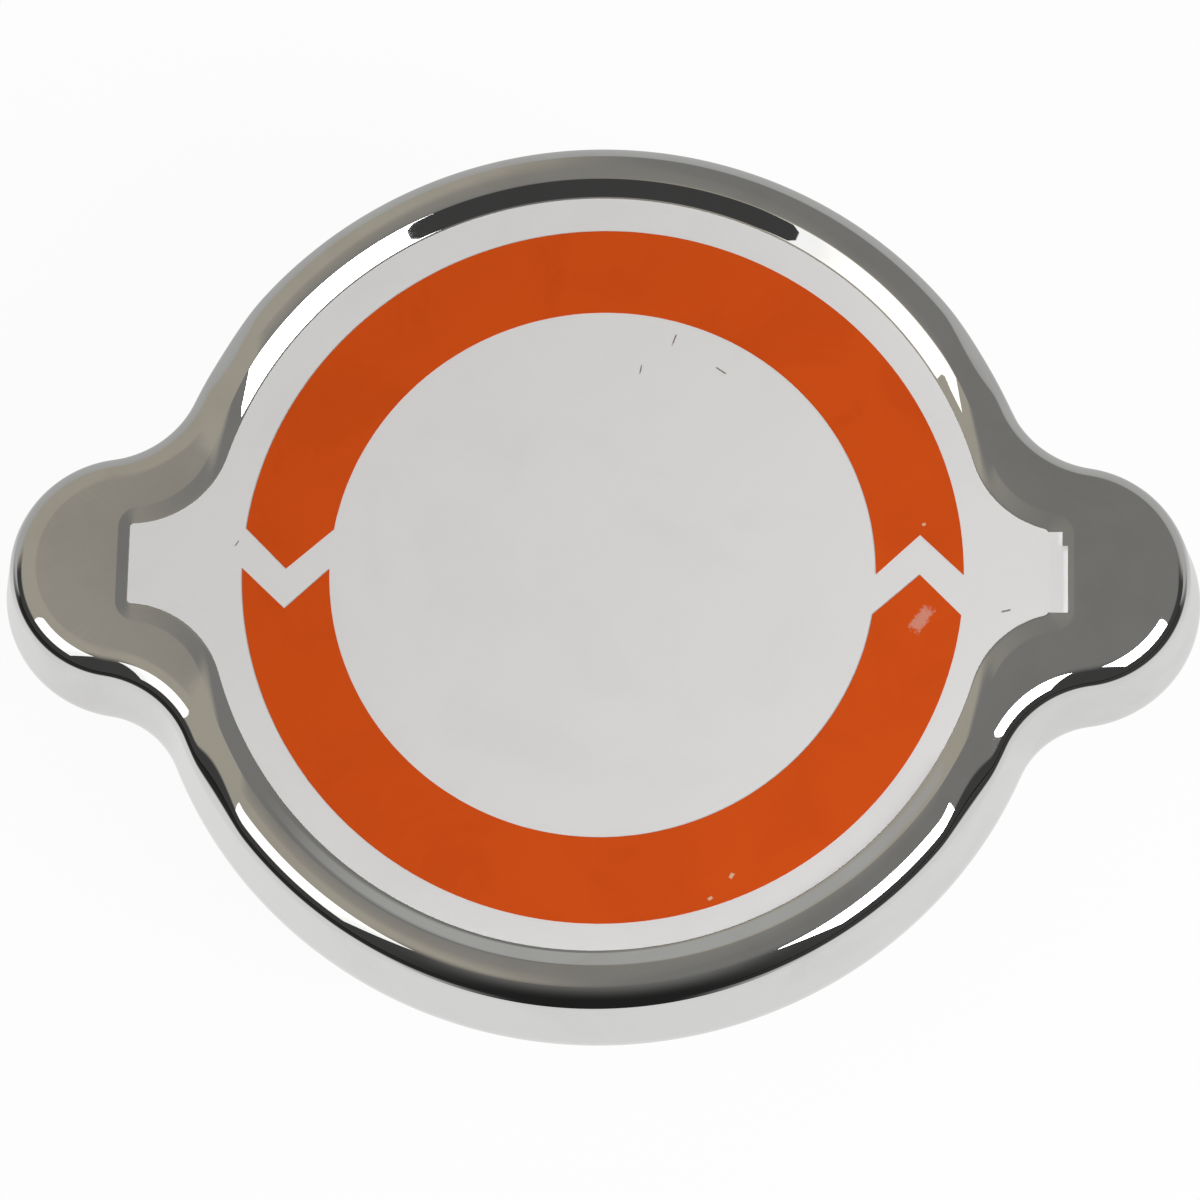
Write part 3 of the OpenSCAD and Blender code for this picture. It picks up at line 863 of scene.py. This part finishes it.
def make_coil(name, radius, wire, turns, low, high, sides, steps):
    """A round wire wound upwards: its section extruded and turned a step at a time, then capped."""
    bpy.ops.object.select_all(action="DESELECT")
    bpy.ops.mesh.primitive_circle_add(
        vertices=sides,
        radius=wire / 2,
        location=(radius, 0, coil_height(0, turns, wire, low, high)),
        rotation=(math.pi / 2, 0, 0),
        calc_uvs=False,
    )
    coil = bpy.context.object
    coil.name = name
    coil.data.name = name
    bpy.ops.object.transform_apply(location=True, rotation=True, scale=True)
    enter_edit()
    bpy.ops.mesh.select_all(action="SELECT")
    count = round(turns * steps)
    heights = [coil_height(i / steps, turns, wire, low, high) for i in range(count + 1)]
    for last, following in zip(heights, heights[1:]):
        bpy.ops.mesh.extrude_edges_move(TRANSFORM_OT_translate={"value": (0, 0, following - last)})
        bpy.ops.transform.rotate(
            value=-2 * math.pi / steps, orient_axis="Z", center_override=(0, 0, 0)
        )
    pick(coil, "EDGE", lambda edge: edge.is_boundary)
    bpy.ops.mesh.edge_face_add()
    close_piece()
    bpy.ops.object.shade_smooth_by_angle(angle=math.radians(50))
    return coil


# Nodes of materials

def add_node(tree, kind, options=None, **inputs):
    """One node, with its options, and its inputs given by name as values or as sockets to link."""
    made = tree.nodes.new(kind)
    for option, value in (options or {}).items():
        setattr(made, option, value)
    for name, value in inputs.items():
        connect(tree, value, made.inputs[name.replace("_", " ")])
    return made


def connect(tree, value, socket):
    """Links a socket to an input, or sets the input to a value."""
    if isinstance(value, bpy.types.NodeSocket):
        tree.links.new(value, socket)
    else:
        socket.default_value = value


def maths(tree, operation, first, second=0.0):
    """The result of one sum on two values."""
    made = add_node(tree, "ShaderNodeMath", {"operation": operation})
    connect(tree, first, made.inputs[0])
    connect(tree, second, made.inputs[1])
    return made.outputs[0]


def vector_maths(tree, operation, first, second, result="Vector"):
    """The result of one sum on two vectors."""
    made = add_node(tree, "ShaderNodeVectorMath", {"operation": operation})
    connect(tree, first, made.inputs[0])
    connect(tree, second, made.inputs[1])
    return made.outputs[result]


def fade(tree, value, low, high, at_low=0.0, at_high=1.0):
    """A value carried smoothly from one range to another, and held at its ends."""
    made = add_node(
        tree,
        "ShaderNodeMapRange",
        {"interpolation_type": "SMOOTHSTEP"},
        Value=value,
        From_Min=low,
        From_Max=high,
        To_Min=at_low,
        To_Max=at_high,
    )
    return made.outputs["Result"]


def mix_colour(tree, amount, first, second):
    """One colour carried into another by an amount."""
    made = add_node(tree, "ShaderNodeMix", {"data_type": "RGBA"})
    connect(tree, amount, made.inputs[0])
    connect(tree, first, made.inputs[6])
    connect(tree, second, made.inputs[7])
    return made.outputs[2]


def mix_shader(tree, amount, first, second):
    """One shader carried into another by an amount."""
    made = tree.nodes.new("ShaderNodeMixShader")
    connect(tree, amount, made.inputs[0])
    connect(tree, first.outputs[0], made.inputs[1])
    connect(tree, second.outputs[0], made.inputs[2])
    return made


def noise(tree, place, scale, detail=2.0, roughness=0.5, distortion=0.0):
    """A noise value at a place, with a number of features to the metre."""
    made = add_node(
        tree,
        "ShaderNodeTexNoise",
        Vector=place,
        Scale=scale,
        Detail=detail,
        Roughness=roughness,
        Distortion=distortion,
    )
    return made.outputs["Fac"]


def bump(tree, height, distance):
    """The normal of a surface raised by a height, from 0 to 1, times a distance."""
    made = add_node(tree, "ShaderNodeBump", Height=height, Distance=distance, Strength=1.0)
    return made.outputs["Normal"]


def new_group(name, vectors, numbers, results):
    """A shared effect: its tree, and its inner sockets in and out."""
    group = bpy.data.node_groups.new(name, "ShaderNodeTree")
    sockets = [(label, "INPUT", "NodeSocketVector") for label in vectors]
    sockets += [(label, "INPUT", "NodeSocketFloat") for label in numbers]
    sockets += [(label, "OUTPUT", "NodeSocketFloat") for label in results]
    for label, way, kind in sockets:
        group.interface.new_socket(name=label, in_out=way, socket_type=kind)
    given = group.nodes.new("NodeGroupInput").outputs
    return group, given, group.nodes.new("NodeGroupOutput").inputs


def use_group(tree, group, **inputs):
    """Places a shared effect in a material, with its own values."""
    made = tree.nodes.new("ShaderNodeGroup")
    made.node_tree = group
    for name, value in inputs.items():
        connect(tree, value, made.inputs[name.replace("_", " ")])
    return made.outputs


def handling_marks():
    """Smears left by wiping, and fine straight scratches in two directions."""
    group, given, result = new_group(
        "handling_marks", ["Place"], ["Smear Scale", "Scratch Scale"], ["Smear", "Scratch"]
    )
    cloudy = noise(group, given["Place"], given["Smear Scale"], 5.0, 0.6, 0.8)
    connect(group, fade(group, cloudy, 0.42, 0.72), result["Smear"])
    strokes = []
    for turn, stretch in ((0.5, 26.0), (-0.9, 34.0)):
        turned_place = add_node(group, "ShaderNodeMapping", Vector=given["Place"])
        turned_place.inputs["Rotation"].default_value = (0, 0, turn)
        turned_place.inputs["Scale"].default_value = (1, stretch, 1)
        grain = noise(group, turned_place.outputs["Vector"], given["Scratch Scale"], 2.0)
        strokes.append(fade(group, grain, 0.70, 0.78))
    connect(group, maths(group, "MAXIMUM", *strokes), result["Scratch"])
    return group


def worn_stroke():
    """A mask for one short mark on a flat face: its middle, its direction and its half sizes."""
    group, given, result = new_group(
        "worn_stroke", ["Place", "Middle", "Along"], ["Half Length", "Half Width"], ["Mask"]
    )
    offset = vector_maths(group, "SUBTRACT", given["Place"], given["Middle"])
    flat = vector_maths(group, "MULTIPLY", offset, (1, 1, 0))
    along = vector_maths(group, "DOT_PRODUCT", flat, given["Along"], "Value")
    squared = vector_maths(group, "DOT_PRODUCT", flat, flat, "Value")
    left = maths(group, "SUBTRACT", squared, maths(group, "MULTIPLY", along, along))
    across = maths(group, "SQRT", left)
    length_share = maths(group, "DIVIDE", maths(group, "ABSOLUTE", along), given["Half Length"])
    width_share = maths(group, "DIVIDE", across, given["Half Width"])
    ragged = maths(group, "MULTIPLY", noise(group, given["Place"], 5000.0, 3.0), 0.9)
    edge = maths(group, "ADD", maths(group, "MAXIMUM", length_share, width_share), ragged)
    connect(group, fade(group, edge, 0.9, 1.3, 1.0, 0.0), result["Mask"])
    return group


def turning_lines():
    """Fine rings left by a tool that went round the axis."""
    group, given, result = new_group("turning_lines", ["Place"], ["Rings"], ["Height"])
    flat = vector_maths(group, "MULTIPLY", given["Place"], (1, 1, 0))
    radius = vector_maths(group, "LENGTH", flat, (0, 0, 0), "Value")
    height = add_node(group, "ShaderNodeSeparateXYZ", Vector=given["Place"]).outputs["Z"]
    line = maths(group, "MULTIPLY", maths(group, "ADD", radius, height), given["Rings"])
    wave = maths(group, "SINE", line)
    uneven = noise(group, given["Place"], 900.0, 3.0)
    connect(group, maths(group, "MULTIPLY", wave, uneven), result["Height"])
    return group


MARKS = handling_marks()
STROKE = worn_stroke()
RINGS = turning_lines()


def new_material(name):
    """A material, its tree, its shader, and the place on the piece that its patterns read."""
    material = bpy.data.materials.new(name)
    material.use_nodes = True
    tree = material.node_tree
    place = tree.nodes.new("ShaderNodeTexCoord").outputs["Object"]
    return material, tree, tree.nodes["Principled BSDF"].inputs, place


def set_roughness(tree, shader, clean, wear, spread):
    """An uneven polish: the roughness of the clean surface, and a spread more where it is worn."""
    worn = maths(tree, "MULTIPLY", wear, spread)
    connect(tree, maths(tree, "ADD", worn, clean), shader["Roughness"])


def set_relief(tree, shader, place, scale, detail, depth):
    """An uneven surface: noise with a number of features to the metre, its detail and its depth."""
    connect(tree, bump(tree, noise(tree, place, scale, detail), depth), shader["Normal"])


def stroke_mask(tree, place, marks):
    """One mask for a list of marks, each with its place, direction and half sizes."""
    mask = 0.0
    for x, y, degrees, half_length, half_width in marks:
        one = use_group(
            tree,
            STROKE,
            Place=place,
            Middle=(x * MM, y * MM, 0),
            Along=heading(math.radians(degrees)),
            Half_Length=half_length * MM,
            Half_Width=half_width * MM,
        )["Mask"]
        mask = maths(tree, "MAXIMUM", one, mask)
    return mask


def bright_chrome():
    """Polished bright sheet, with faint waves from the press, smears and hairline scratches."""
    material, tree, shader, place = new_material("bright_chrome")
    marks = use_group(tree, MARKS, Place=place, Smear_Scale=110.0, Scratch_Scale=240.0)
    haze = maths(tree, "MULTIPLY", marks["Smear"], CHROME_HAZE)
    hairline = maths(tree, "MULTIPLY", marks["Scratch"], CHROME_HAIRLINE)
    dulled = maths(tree, "ADD", haze, hairline)
    connect(tree, maths(tree, "ADD", dulled, CHROME_POLISH), shader["Roughness"])
    tint = mix_colour(tree, marks["Smear"], CHROME_CLEAR, CHROME_SMEARED)
    connect(tree, tint, shader["Base Color"])
    shader["Metallic"].default_value = 1.0
    set_relief(tree, shader, place, scale=70.0, detail=1.0, depth=CHROME_WAVE)
    return material


def satin_coat():
    """Pale satin coat, slightly mottled, with a few fine ticks where it has been caught."""
    material, tree, shader, place = new_material("satin_coat")
    marks = use_group(tree, MARKS, Place=place, Smear_Scale=90.0, Scratch_Scale=300.0)
    mottle = mix_colour(tree, marks["Smear"], COAT_PALE, COAT_GREY)
    ticks = stroke_mask(tree, place, COAT_TICKS)
    connect(tree, mix_colour(tree, ticks, mottle, COAT_TICKED), shader["Base Color"])
    set_roughness(tree, shader, clean=0.62, wear=marks["Scratch"], spread=0.12)
    set_relief(tree, shader, place, scale=6500.0, detail=3.0, depth=0.003 * MM)
    return material


def orange_ink():
    """Printed orange ink, thicker and thinner in places, with one worn patch and a few specks."""
    material, tree, shader, place = new_material("orange_ink")
    marks = use_group(tree, MARKS, Place=place, Smear_Scale=140.0, Scratch_Scale=300.0)
    body = mix_colour(tree, marks["Smear"], INK_FULL, INK_THIN)
    worn = stroke_mask(tree, place, INK_SCUFFS)
    specks = stroke_mask(tree, place, INK_SPECKS)
    scuffed = mix_colour(tree, worn, body, INK_SCUFFED)
    connect(tree, mix_colour(tree, specks, scuffed, INK_BARE), shader["Base Color"])
    set_roughness(tree, shader, clean=0.60, wear=marks["Scratch"], spread=0.12)
    shader["Specular IOR Level"].default_value = 0.15
    set_relief(tree, shader, place, scale=5200.0, detail=3.0, depth=0.004 * MM)
    return material


def metal(name, bright, dull, roughness, rings=0.0):
    """A plain metal: two cloudy tones, an uneven polish, and turning lines where it has them."""
    material, tree, shader, place = new_material(name)
    marks = use_group(tree, MARKS, Place=place, Smear_Scale=260.0, Scratch_Scale=420.0)
    connect(tree, mix_colour(tree, marks["Smear"], (*bright, 1), (*dull, 1)), shader["Base Color"])
    wear = maths(tree, "ADD", marks["Smear"], marks["Scratch"])
    set_roughness(tree, shader, roughness, wear, METAL_SPREAD)
    shader["Metallic"].default_value = 1.0
    if rings:
        lines = use_group(tree, RINGS, Place=place, Rings=rings)["Height"]
        connect(tree, bump(tree, lines, METAL_RELIEF), shader["Normal"])
    else:
        set_relief(tree, shader, place, scale=1800.0, detail=4.0, depth=METAL_RELIEF)
    return material


def black_rubber():
    """Moulded black rubber, greyer where it has bloomed, with a fine mould grain."""
    material, tree, shader, place = new_material("black_rubber")
    marks = use_group(tree, MARKS, Place=place, Smear_Scale=180.0, Scratch_Scale=300.0)
    tint = mix_colour(tree, marks["Smear"], RUBBER_BLACK, RUBBER_BLOOM)
    connect(tree, tint, shader["Base Color"])
    set_roughness(tree, shader, clean=0.5, wear=marks["Smear"], spread=0.18)
    set_relief(tree, shader, place, scale=4200.0, detail=4.0, depth=0.02 * MM)
    return material


# Floor, light and camera

def stage_material(name):
    """A material for the studio: the material, its tree and where its shader goes."""
    material = bpy.data.materials.new(name)
    material.use_nodes = True
    tree = material.node_tree
    tree.nodes.clear()
    return material, tree, tree.nodes.new("ShaderNodeOutputMaterial").inputs["Surface"]


def make_floor():
    """A white floor that the camera and the metal see near its own white, with the shadow kept.

    The metal sees painted shade on it: dimmer on the far side, in place of the cap's shadow,
    and dark some way out on the near side. From below it can be seen through, so that the underside
    of the cap shows.
    """
    bpy.ops.object.select_all(action="DESELECT")
    bpy.ops.mesh.primitive_plane_add(size=FLOOR_SIZE, location=(0, 0, SEAL_Z - CLOSE))
    floor = bpy.context.object
    floor.name = "studio_floor"
    material, tree, surface = stage_material("studio_white")
    matt = add_node(tree, "ShaderNodeBsdfDiffuse", Color=FLOOR_WHITE)
    path = tree.nodes.new("ShaderNodeLightPath").outputs
    place = tree.nodes.new("ShaderNodeTexCoord").outputs["Object"]
    far = add_node(tree, "ShaderNodeSeparateXYZ", Vector=place).outputs["Y"]
    # Painted shade for the metal only: the floor's glow is dimmer on the far side, standing in for
    # the cap's shadow, and dark some way out on the near side.
    painted_shade = fade(tree, far, FLOOR_PAINTED_SHADE_FROM, FLOOR_PAINTED_SHADE_TO, FLOOR_NEAR_PAINTED_SHADE, FLOOR_FAR_PAINTED_SHADE)
    distance = vector_maths(tree, "LENGTH", place, (0, 0, 0), "Value")
    edge = fade(tree, distance, FLOOR_EDGE_FROM, FLOOR_EDGE_TO, 0.0, 1 - FLOOR_NEAR_PAINTED_SHADE)
    near = fade(tree, far, FLOOR_PAINTED_SHADE_FROM, FLOOR_PAINTED_SHADE_TO, 1.0, 0.0)
    painted_shade = maths(tree, "ADD", painted_shade, maths(tree, "MULTIPLY", edge, near))
    strength = maths(tree, "SUBTRACT", 1.0, maths(tree, "MULTIPLY", painted_shade, path["Is Glossy Ray"]))
    glow = add_node(tree, "ShaderNodeEmission", Color=(1, 1, 1, 1), Strength=strength)
    seen = maths(tree, "MAXIMUM", path["Is Camera Ray"], path["Is Glossy Ray"])
    seen = maths(tree, "MAXIMUM", seen, path["Is Transmission Ray"])
    share = maths(tree, "MULTIPLY", seen, FLOOR_GLOW)
    upper = mix_shader(tree, share, matt, glow)
    clear = tree.nodes.new("ShaderNodeBsdfTransparent")
    under = tree.nodes.new("ShaderNodeNewGeometry").outputs["Backfacing"]
    connect(tree, mix_shader(tree, under, upper, clear).outputs[0], surface)
    floor.data.materials.append(material)


def make_surroundings():
    """The room: warm at the left, grey at the right, pale far off, dark low on the near side."""
    world = bpy.data.worlds.new("studio_room")
    bpy.context.scene.world = world
    world.use_nodes = True
    tree = world.node_tree
    tree.nodes.clear()
    toward = tree.nodes.new("ShaderNodeTexCoord").outputs["Generated"]
    parts = add_node(tree, "ShaderNodeSeparateXYZ", Vector=toward).outputs
    side, far, up = parts["X"], parts["Y"], parts["Z"]
    near_half = fade(tree, far, *NEAR_TO_FAR, 1.0, 0.0)
    far_half = maths(tree, "SUBTRACT", 1.0, near_half)
    low = maths(tree, "MULTIPLY", fade(tree, up, *LOW_TO_HIGH, 1.0, 0.0), near_half)
    warm = mix_colour(tree, fade(tree, side, *LEFT_TO_RIGHT), ROOM_LEFT, ROOM_RIGHT)
    room = mix_colour(tree, low, warm, ROOM_DARK)
    sideways = maths(tree, "MULTIPLY", maths(tree, "ABSOLUTE", side), SHADE_NARROWING)
    near = maths(tree, "SUBTRACT", maths(tree, "MULTIPLY", far, -1.0), sideways)
    below = fade(tree, up, *SHADE_TO_HIGH, 1.0, 0.0)
    shade = maths(tree, "MULTIPLY", fade(tree, near, *OPEN_TO_SHADE), below)
    room = mix_colour(tree, shade, room, ROOM_DARK)
    horizon = maths(tree, "MULTIPLY", fade(tree, up, *HORIZON_TO_HIGH, 1.0, 0.0), far_half)
    room = mix_colour(tree, horizon, room, ROOM_FAR)
    glow = add_node(tree, "ShaderNodeBackground", Color=room, Strength=1.0)
    output = tree.nodes.new("ShaderNodeOutputWorld")
    connect(tree, glow.outputs[0], output.inputs["Surface"])


def make_flag():
    """A dark card in front of the cap, out of the picture: only the metal sees it.

    It is a painted dark reflection: it glows, casts no shade and blocks no light. Its ends are
    soft, and its painted glow is paler higher up.
    """
    bpy.ops.object.select_all(action="DESELECT")
    bpy.ops.mesh.primitive_plane_add(
        size=1, location=(0, FLAG_Y, SEAL_Z + FLAG_H / 2), rotation=(math.pi / 2, 0, 0)
    )
    flag = bpy.context.object
    flag.name = "painted_reflection_flag"
    flag.scale = (FLAG_W, FLAG_H, 1)
    bpy.ops.object.transform_apply(location=True, rotation=True, scale=True)
    material, tree, surface = stage_material("painted_dark_reflection")
    clear = tree.nodes.new("ShaderNodeBsdfTransparent")
    glossy = tree.nodes.new("ShaderNodeLightPath").outputs["Is Glossy Ray"]
    place = tree.nodes.new("ShaderNodeTexCoord").outputs["Object"]
    parts = add_node(tree, "ShaderNodeSeparateXYZ", Vector=place).outputs
    height = fade(tree, parts["Z"], FLAG_PALE_FROM, FLAG_H)
    # Painted reflection: the card glows dark low down and paler higher up, and only the metal sees
    # it.
    tone = mix_colour(tree, height, FLAG_PAINTED_LOW, FLAG_PAINTED_HIGH)
    dark = add_node(tree, "ShaderNodeEmission", Color=tone, Strength=1.0)
    sideways = maths(tree, "ABSOLUTE", parts["X"])
    middle = fade(tree, sideways, FLAG_SOFT_FROM, FLAG_SOFT_TO, 1.0, 0.0)
    shown = maths(tree, "MULTIPLY", glossy, middle)
    connect(tree, mix_shader(tree, shown, clear, dark).outputs[0], surface)
    flag.data.materials.append(material)


def make_softbox(name, azimuth, elevation, distance, width, height, radiance):
    """A white light panel that faces the cap, with a brightness that its reflection shows."""
    lamp = bpy.data.lights.new(name, "AREA")
    lamp.shape = "RECTANGLE"
    lamp.size = width
    lamp.size_y = height
    lamp.energy = radiance * math.pi * width * height
    holder = bpy.data.objects.new(name, lamp)
    bpy.context.scene.collection.objects.link(holder)
    azimuth = math.radians(azimuth)
    elevation = math.radians(elevation)
    flat = math.cos(elevation)
    toward = Vector((math.cos(azimuth) * flat, math.sin(azimuth) * flat, math.sin(elevation)))
    holder.location = Vector((0, 0, CROWN_TOP)) + toward * distance
    holder.rotation_euler = toward.to_track_quat("Z", "Y").to_euler()


def make_camera():
    """The photograph's view: steeply from above, a little from the near side."""
    away = Vector(
        (
            math.sin(VIEW_TILT) * math.sin(VIEW_TURN),
            -math.sin(VIEW_TILT) * math.cos(VIEW_TURN),
            math.cos(VIEW_TILT),
        )
    )
    swing = Matrix.Rotation(VIEW_TILT, 3, Vector((0, 0, 1)).cross(away))
    stand = Vector((0, 0, FLOOR_Z)) + away * VIEW_DISTANCE
    back = (stand - VIEW_MIDDLE).normalized()
    across = swing @ Vector((math.cos(VIEW_ROLL), math.sin(VIEW_ROLL), 0))
    right = (across - back * across.dot(back)).normalized()
    camera = bpy.data.cameras.new("photograph_view")
    camera.lens = VIEW_LENS
    camera.sensor_width = VIEW_SENSOR
    camera.clip_start = 10 * MM
    holder = bpy.data.objects.new("photograph_view", camera)
    bpy.context.scene.collection.objects.link(holder)
    turn = Matrix((right, back.cross(right), back)).transposed()
    holder.matrix_world = Matrix.Translation(stand) @ turn.to_4x4()
    bpy.context.scene.camera = holder


# Assembly

CHROME = bright_chrome()
COAT = satin_coat()
INK = orange_ink()
ZINC = metal("zinc_plate", (0.60, 0.59, 0.55), (0.50, 0.49, 0.44), 0.26)
SPRING_STEEL = metal("spring_steel", (0.50, 0.50, 0.51), (0.38, 0.38, 0.40), 0.24)
BRASS = metal("turned_brass", (0.66, 0.47, 0.19), (0.52, 0.35, 0.13), 0.20, rings=28000.0)
RUBBER = black_rubber()

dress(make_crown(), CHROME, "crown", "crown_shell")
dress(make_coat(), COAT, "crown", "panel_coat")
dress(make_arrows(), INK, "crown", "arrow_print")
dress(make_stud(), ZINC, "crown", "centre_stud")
washer = make_ring("washer_stamped", STUD_HOLE_R, WASHER_R, STAKE_TOP, WASHER_TOP, STAMPED_EDGE)
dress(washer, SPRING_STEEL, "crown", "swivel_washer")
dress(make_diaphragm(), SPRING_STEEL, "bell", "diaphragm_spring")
gasket = make_ring(
    "upper_seal_ring", GASKET_INNER_R, GASKET_R, GASKET_FOOT, GASKET_TOP, RUBBER_EDGE
)
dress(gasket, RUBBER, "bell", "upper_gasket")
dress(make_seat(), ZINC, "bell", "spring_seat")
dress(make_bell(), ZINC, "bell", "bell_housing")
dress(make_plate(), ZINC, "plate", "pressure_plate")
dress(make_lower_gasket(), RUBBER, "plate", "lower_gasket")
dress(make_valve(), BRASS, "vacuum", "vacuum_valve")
keeper = make_ring("keeper_washer", STEM_HOLE_R, KEEPER_R, KEEPER_Z, KEEPER_TOP, STAMPED_EDGE)
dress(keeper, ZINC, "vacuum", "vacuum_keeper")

main_coil = make_coil(
    "main_coil", COIL_R, COIL_WIRE, COIL_TURNS, COIL_FOOT, COIL_TOP, sides=20, steps=36
)
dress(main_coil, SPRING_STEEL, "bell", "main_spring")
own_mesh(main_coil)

small_coil = make_coil(
    "vacuum_coil",
    SMALL_COIL_R,
    SMALL_COIL_WIRE,
    SMALL_COIL_TURNS,
    SMALL_COIL_FOOT,
    SMALL_COIL_TOP,
    sides=12,
    steps=28,
)
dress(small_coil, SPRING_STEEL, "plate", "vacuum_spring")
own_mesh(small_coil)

make_floor()
make_flag()
make_surroundings()
for softbox, settings in SOFTBOXES.items():
    make_softbox(softbox, *settings)
make_camera()
bpy.context.scene.view_settings.view_transform = "Standard"
